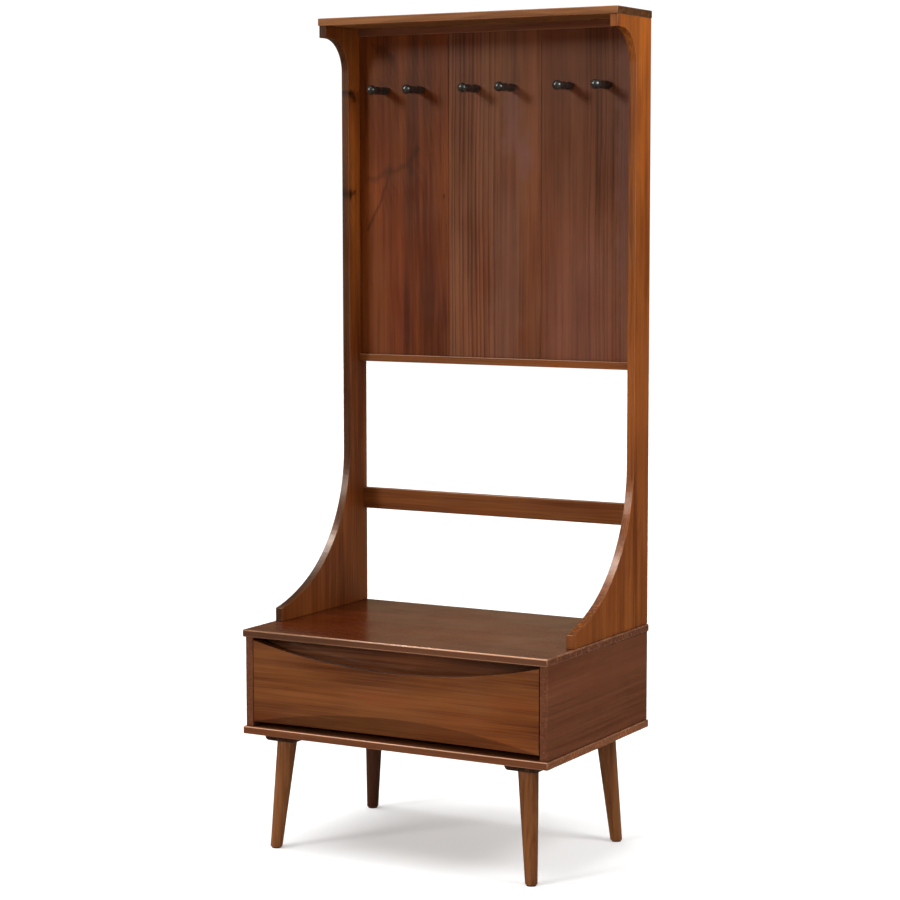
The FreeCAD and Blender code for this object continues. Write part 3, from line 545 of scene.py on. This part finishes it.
# node, grain, wide, seed, slot, easing in mm, and how its wood differs
FLAT_BOARDS = (
    ("cap_board", "X", "Y", 21, "board_wood", 1.4, dict(tones=CAP, figure=0.8, wear_and_highlight=0.8, warmth=0.2)),
    ("seat_board", "X", "Y", 22, "board_wood", 2.8,
     dict(tones=SEAT, figure=0.35, rough=0.23, coat=0.08, wear_and_highlight=1.5, end_tone=linear(78, 46, 32),
          edge_tone=linear(80, 48, 32))),
    ("bottom_board", "X", "Y", 23, "board_wood", 2.0,
     dict(tones=BASE, figure=0.5, wear_and_highlight=1.6, end_tone=linear(106, 64, 40))),
    ("left_side_panel", "Y", "Z", 24, "carcass_wood", 1.2, SIDE_PANEL),
    ("right_side_panel", "Y", "Z", 25, "carcass_wood", 1.2, SIDE_PANEL),
    ("top_rail", "X", "Y", 26, "board_wood", 1.2, dict(tones=CARCASS, figure=0.5, wear_and_highlight=0.3)),
    ("lower_rail", "X", "Y", 27, "board_wood", 1.2, dict(tones=RAIL, figure=0.5)),
    ("mid_rail", "X", "Z", 28, "board_wood", 1.2, dict(tones=RAIL, figure=0.5, wear_and_highlight=0.6)),
)
BOARD_BLOTCH = 0.7


def middle_of(node, axis):
    """Where the middle of a CAD node lies along an axis."""
    low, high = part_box(node)
    return (low[AXES.index(axis)] + high[AXES.index(axis)]) / 2


for node, grain, wide, seed, slot, easing, looks in FLAT_BOARDS:
    thick = next(axis for axis in AXES if axis not in (grain, wide))
    pith = (middle_of(node, wide) + 0.06, middle_of(node, thick) - 0.05)
    looks = {"blotch": BOARD_BLOTCH, **looks}
    pine = wood(f"{node}_pine", grain, wide, seed=seed, centre=pith, **looks)
    slab(node, pine, width=easing * MM, dark_ends=node == "cap_board")

# ---- boarded back: the CAD boards, each with its own figure, the left one with knots ----
# knots: along, across, half width, and how dark, from 0 to 1
LEFT_KNOTS = [
    (1.537, -0.200, 0.010, 0.25),
    (1.492, -0.216, 0.012, 0.35),
    (1.492, -0.272, 0.012, 0.15),
    (1.432, -0.130, 0.005, 0.7),
    (1.76, -0.29, 0.016, 0.25),
]
# creases: from one point (along, across) to another, width, and how dark
LEFT_CREASES = [
    ((1.493, -0.272), (1.430, -0.292), 0.006, 0.5),
    ((1.430, -0.292), (1.360, -0.329), 0.006, 0.55),
    ((1.545, -0.196), (1.505, -0.225), 0.012, 0.45),
    ((1.505, -0.225), (1.470, -0.325), 0.014, 0.4),
    ((1.786, -0.313), (1.735, -0.271), 0.012, 0.4),
]
# blooms and glows: along, across, half length, half breadth, and strength
BACK_BOARDS = {
    "left": dict(tones=PANEL_RED, seed=31, centre=(-0.20, 0.30), ring=13.0, waver=0.009, lean=0.12,
                 figure=0.5, blotch=1.4, knots=LEFT_KNOTS, creases=LEFT_CREASES,
                 glows=[(1.44, -0.31, 0.08, 0.035, 0.8), (1.30, -0.19, 0.30, 0.05, 0.3)]),
    "middle": dict(tones=PANEL, seed=32, centre=(0.09, 0.27), ring=10.0, waver=0.003, figure=2.2,
                   blotch=1.2, striped=(-0.112, -0.010),
                   blooms=[(1.60, 0.045, 0.10, 0.035, 0.5), (1.52, 0.072, 0.07, 0.03, 0.55),
                           (1.20, 0.03, 0.35, 0.05, 0.25)],
                   glows=[(1.16, 0.0, 0.25, 0.16, 0.35)]),
    "right": dict(tones=PANEL_RIGHT, seed=34, centre=(0.17, 0.27), ring=9.0, waver=0.003, figure=2.0,
                  blotch=1.1, striped=(0.235, 0.310),
                  blooms=[(1.45, 0.325, 0.60, 0.03, 0.45), (1.15, 0.22, 0.30, 0.12, 0.35)],
                  glows=[(1.10, 0.23, 0.40, 0.20, 1.0)]),
}
for name, looks in BACK_BOARDS.items():
    node = f"back_board_{name}"
    dress(node, wood(f"{node}_pine", "Z", "X", **looks))


# ---- coat pegs ----
PEG_BASE = 8.6 * MM
PEG_NECK = 8 * MM
PEG_BALL = 11 * MM
PEG_BEAD = 27 * MM
PEG_BEAD_SWELL = 1.6 * MM
PEG_CHAMFER = 0.6 * MM
PEG_CHAMFER_RISE = 0.5 * MM
PEG_SEGMENTS = 40
BEAD_STEPS = 16
BALL_STEPS = 24


def peg_profile(length):
    """(distance from the board, radius) along a turned peg: two long beads, a neck and a ball."""
    points = [(0.0, 0.0), (0.0, PEG_BASE - PEG_CHAMFER), (PEG_CHAMFER_RISE, PEG_BASE)]
    for start, first in ((0.0, PEG_BASE), (PEG_BEAD, PEG_NECK)):
        for step in range(1, BEAD_STEPS + 1):
            share = step / BEAD_STEPS
            swell = PEG_BEAD_SWELL * math.sin(math.pi * share)
            points.append((start + PEG_BEAD * share, first + (PEG_NECK - first) * share + swell))
    centre = length - PEG_BALL
    first = math.pi - math.asin(PEG_NECK / PEG_BALL)
    for step in range(BALL_STEPS + 1):
        angle = first * (1 - step / BALL_STEPS)
        points.append((centre + PEG_BALL * math.cos(angle), PEG_BALL * math.sin(angle)))
    return points


def lathe(profile, place, direction):
    """Solid of revolution: profile (along, radius) from place along a direction."""
    data = bmesh.new()
    rings = []
    for along, radius in profile:
        centre = Vector((0, 0, along))
        pole = radius < 1e-7
        rings.append([data.verts.new(centre)] if pole else level_ring(data, centre, radius, PEG_SEGMENTS))
    skin(data, rings)
    bmesh.ops.recalc_face_normals(data, faces=data.faces)
    for face in data.faces:
        face.smooth = True
    turn = Vector((0, 0, 1)).rotation_difference(Vector(direction)).to_matrix().to_4x4()
    data.transform(Matrix.Translation(place) @ turn)
    return data


peg_bronze = bronze("peg_bronze")
for index in range(1, 7):
    node = f"coat_peg_{index}"
    low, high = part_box(node)
    place = Vector(((low.x + high.x) / 2, high.y, (low.z + high.z) / 2))
    turned = lathe(peg_profile(high.y - low.y), place, (0, -1, 0))
    finish_piece(turned, node, peg_bronze, "hall_tree")


# ---- legs ----
LEG_TOP = Vector((299 * MM, 186 * MM, 0))
LEG_FOOT = Vector((317 * MM, 206 * MM, 0))
LEG_TOP_RADIUS = 22 * MM
LEG_FOOT_RADIUS = 13.2 * MM
LEG_SEGMENTS = 48


def leg_stations(height):
    """(rise, swell) up a leg, all in mm: rounded foot, straight taper in ten steps, rounded top."""
    stations = [(0.0, -1.4), (0.35, -0.5), (1.4, 0.0)]
    stations += [(1.4 + (height - 3.4) * step / 10, 0.0) for step in range(1, 11)]
    return stations + [(height - 0.6, -0.5), (height, -1.4)]


def leg(end, side, seed, tones):
    """Splayed round leg, its section level at every height, its ends softly rounded."""
    node = f"{end}_{side}_leg"
    low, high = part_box(node)
    height = high.z - low.z
    sign = Vector((-1 if side == "left" else 1, -1 if end == "front" else 1, 1))
    data = bmesh.new()
    rings = []
    for rise, swell in leg_stations(height / MM):
        along = rise * MM / height
        centre = LEG_FOOT.lerp(LEG_TOP, along) * sign
        centre.z = low.z + rise * MM
        radius = LEG_FOOT_RADIUS + (LEG_TOP_RADIUS - LEG_FOOT_RADIUS) * along + swell * MM
        rings.append(level_ring(data, centre, radius, LEG_SEGMENTS))
    skin(data, rings)
    data.faces.new(list(reversed(rings[0])))
    data.faces.new(rings[-1])
    for face in data.faces:
        face.smooth = len(face.verts) == 4
    top = LEG_TOP * sign
    pine = wood(f"{node}_pine", "Z", "X", tones, seed, centre=(top.x - 0.05, top.y + 0.02), ring=7.0,
                figure=0.7, blotch=0.9)
    finish_piece(data, node, pine, "hall_tree")


leg("front", "left", 41, LEG)
leg("front", "right", 42, LEG)
# painted shade: the rear left leg gets the darkened tone
leg("rear", "left", 43, PAINTED_SHADE_LEG)
leg("rear", "right", 44, LEG)


# ---- leg cleats ----
CLEAT_ROUND = 9 * MM
CLEAT_EASING = 0.8 * MM


def cleat(side, seed):
    """Batten under the bottom board, its lower edges rounded over."""
    node = f"{side}_cleat"
    low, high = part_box(node)
    outline = list(arc((low.x + CLEAT_ROUND, low.z + CLEAT_ROUND), CLEAT_ROUND, 180, 270, 8))
    outline += arc((high.x - CLEAT_ROUND, low.z + CLEAT_ROUND), CLEAT_ROUND, -90, 0, 8)
    outline += [(high.x, high.z), (low.x, high.z)]
    data = ease(prism(outline, "Y", low.y, high.y), CLEAT_EASING)
    for face in data.faces:
        face.smooth = True
    pine = wood(f"{node}_pine", "Y", "X", CLEAT, seed, centre=(low.x, low.z - 0.05), figure=0.5)
    finish_piece(data, node, pine, "hall_tree")


cleat("left", 51)
cleat("right", 52)


# ---- drawer ----
SCOOP_DEPTH = 43 * MM
FACET_DEPTH = 10 * MM
FACET_HEIGHT = 40 * MM
FRONT_COLUMNS = 96
FRONT_EASING = 1.1 * MM
LEAST_FACET = 0.05 * MM


def sagged(x, half, depth):
    """How far an arc through (half, 0) and (-half, 0) lies from its chord at x."""
    radius = (half ** 2 + depth ** 2) / (2 * depth)
    return math.sqrt(radius ** 2 - x ** 2) - (radius - depth)


def front_section(x, low, high):
    """Corners of the front board's upright section at x, round from the foot of its bevel."""
    top = high.z - sagged(x, high.x, SCOOP_DEPTH)
    crease = sagged(x, high.x, FACET_HEIGHT)
    inset = crease * FACET_DEPTH / FACET_HEIGHT
    return ((x, low.y + inset, low.z), (x, low.y, low.z + max(crease, LEAST_FACET)), (x, low.y, top),
            (x, high.y, top), (x, high.y, low.z))


def drawer_front():
    """Front board: scooped top edge, and a bevel under a matching arc along its lower edge."""
    low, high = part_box("drawer_front")
    half = high.x
    data = bmesh.new()
    sections = []
    for index in range(FRONT_COLUMNS + 1):
        x = -half + 2 * half * index / FRONT_COLUMNS
        sections.append([data.verts.new(point) for point in front_section(x, low, high)])
    skin(data, sections)
    data.faces.new(sections[0])
    data.faces.new(list(reversed(sections[-1])))
    bmesh.ops.recalc_face_normals(data, faces=data.faces)
    # painted shade: the bevel under the front's lower edge faces down and is darkened beyond what its tilt
    # gives
    mark_darker(data, lambda face: face.normal.y < -0.9 and face.normal.z < -0.1, amount=0.45)
    data = ease(data, FRONT_EASING, angle=math.radians(40))
    pine = wood("drawer_front_pine", "X", "Z", DRAWER, 61, centre=(0.60, low.y + 0.02), ring=5.0, figure=0.5,
                blotch=1.4)
    finish_piece(data, "drawer_front", pine, "drawer")


drawer_front()
inner_pine = wood("inner_front_pine", "X", "Z", INNER_FRONT, 62, centre=(0.55, -0.2), figure=0.4)
slab("drawer_inner_front", inner_pine, body="drawer")


# ---- CAD nodes that keep their own meshes ----
box_pine = wood("drawer_box_pine", "Y", "Z", RAW, 63, centre=(0.34, 0.3), rough=0.5)
cross_pine = wood("drawer_cross_pine", "X", "Z", RAW, 64, centre=(0.34, 0.2), rough=0.5)
thin_panel = wood("thin_panel_pine", "X", "Y", PLY, 65, ring=11.0, centre=(0.0, 0.3), rough=0.5)
back_panel = wood("cabinet_back_pine", "X", "Z", CARCASS, 66, centre=(0.37, 0.20), ring=11.0, rough=0.5)
dowel_beech = wood("dowel_beech", "Z", "X", RAW, 67, ring=3.0, rough=0.6)
zinc = steel("zinc_steel", (0.62, 0.63, 0.65))
runner_zinc = steel("runner_steel", (0.66, 0.67, 0.68))
glide_nylon = nylon("glide_nylon")

for node in frame["nodes"]:
    if node in ("drawer_left_side", "drawer_right_side"):
        dress(node, box_pine)
    elif node == "drawer_back" or "front_spacer" in node or "stop" in node:
        dress(node, cross_pine)
    elif node == "drawer_bottom":
        dress(node, thin_panel)
    elif node == "cabinet_back":
        dress(node, back_panel)
    elif "dowels" in node:
        dress(node, dowel_beech)
    elif node.endswith("_runner"):
        dress(node, runner_zinc)
    elif "screws" in node or node in ("peg_studs", "leg_bolts"):
        dress(node, zinc)
    elif node == "foot_glides":
        dress(node, glide_nylon)


# ---------------------------------------------------------------- studio
WORLD_FILL = 0.33
WORLD_GLOSS = (0.16, 0.10, 0.06)
WORLD_SEEN = 1.05
FLOOR_HALF = 14.0
FLOOR_DROP = 0.3 * MM
FLOOR_TONES = ((0.775, 0.775, 0.77), (0.79, 0.79, 0.785))
FLOOR_LIFT = 0.285
CAMERA_PLACE = (2.620, -4.660, 1.415)
CAMERA_TURN = 0.5108
CAMERA_DIP = 0.0998
CAMERA_ROLL = -0.00135
CAMERA_LENS = 98.3


def floor():
    """Pale floor, with a little light of its own so that it stays white round the shadow."""
    g = Graph("studio_floor")
    place = g.node("ShaderNodeTexCoord").outputs["Object"]
    cloud = g.noise(place, scale=0.7)
    g.feed(g.shader.inputs["Base Color"], g.mix(g.remap(cloud, 0.3, 0.7), *FLOOR_TONES))
    g.set(Roughness=0.75, Specular_IOR_Level=0.15, Emission_Color=(1.0, 1.0, 1.0, 1.0),
          Emission_Strength=FLOOR_LIFT)
    data = bmesh.new()
    bmesh.ops.create_grid(data, x_segments=8, y_segments=8, size=FLOOR_HALF)
    mesh = bpy.data.meshes.new("floor")
    data.to_mesh(mesh)
    data.free()
    item = bpy.data.objects.new("floor", mesh)
    item.location = (0, 0, -FLOOR_DROP)
    bpy.context.scene.collection.objects.link(item)
    mesh.materials.append(g.material)
    item.visible_glossy = False


def sun(name, source, power, spread, colour=(1.0, 1.0, 1.0), gloss_only=False):
    """Light from a far soft source in the given direction; spread is its width in degrees.
    gloss_only keeps just the highlight that it leaves in the lacquer."""
    data = bpy.data.lights.new(name, "SUN")
    data.energy = power
    data.angle = math.radians(spread)
    data.color = colour
    item = bpy.data.objects.new(name, data)
    item.rotation_euler = (-Vector(source)).to_track_quat("-Z", "Y").to_euler()
    item.visible_diffuse = not gloss_only
    bpy.context.scene.collection.objects.link(item)


def soft_light(name, place, target, size, power):
    """Square light panel that faces its target."""
    data = bpy.data.lights.new(name, "AREA")
    data.size = size
    data.energy = power
    item = bpy.data.objects.new(name, data)
    item.location = place
    item.rotation_euler = (Vector(target) - Vector(place)).to_track_quat("-Z", "Y").to_euler()
    bpy.context.scene.collection.objects.link(item)


def world():
    """White all round as a background, dimmer as a light, and warm and dim in the lacquer's reflections."""
    item = bpy.data.worlds.new("studio")
    item.use_nodes = True
    tree = item.node_tree
    path = tree.nodes.new("ShaderNodeLightPath")
    colour = (WORLD_FILL,) * 3
    for ray, value in (("Is Glossy Ray", WORLD_GLOSS), ("Is Camera Ray", (WORLD_SEEN,) * 3)):
        mix = tree.nodes.new("ShaderNodeMix")
        mix.data_type = "RGBA"
        tree.links.new(path.outputs[ray], mix.inputs["Factor"])
        if isinstance(colour, tuple):
            mix.inputs[6].default_value = (*colour, 1.0)
        else:
            tree.links.new(colour, mix.inputs[6])
        mix.inputs[7].default_value = (*value, 1.0)
        colour = mix.outputs[2]
    tree.links.new(colour, tree.nodes["Background"].inputs["Color"])
    bpy.context.scene.world = item


def camera():
    """Camera in front and to the right, a little above the middle, looking slightly down."""
    data = bpy.data.cameras.new("camera")
    data.sensor_width = 36.0
    data.lens = CAMERA_LENS
    data.clip_end = 100.0
    item = bpy.data.objects.new("camera", data)
    turn = Matrix.Rotation(CAMERA_TURN, 4, "Z") @ Matrix.Rotation(math.pi / 2 - CAMERA_DIP, 4, "X")
    turn = turn @ Matrix.Rotation(CAMERA_ROLL, 4, "Z")
    item.matrix_world = Matrix.Translation(CAMERA_PLACE) @ turn
    bpy.context.scene.collection.objects.link(item)
    bpy.context.scene.camera = item


floor()
world()
camera()
sun("key", (-0.50, -0.85, 0.36), 1.55, 15)
sun("side", (0.88, -0.48, 0.30), 0.36, 40)
sun("top", (-0.25, -0.20, 1.0), 2.7, 50)
sun("rear", (-0.2, 1.0, 0.5), 0.14, 50, (1.0, 0.74, 0.48))
sun("sheen", (-0.49, -0.28, 0.83), 2.6, 15, gloss_only=True)
soft_light("upper_right", (1.9, 0.02, 2.2), (0.36, 0.2, 1.6), 0.9, 34)
bpy.context.scene.view_settings.view_transform = "Standard"
bpy.context.scene.view_settings.look = "None"
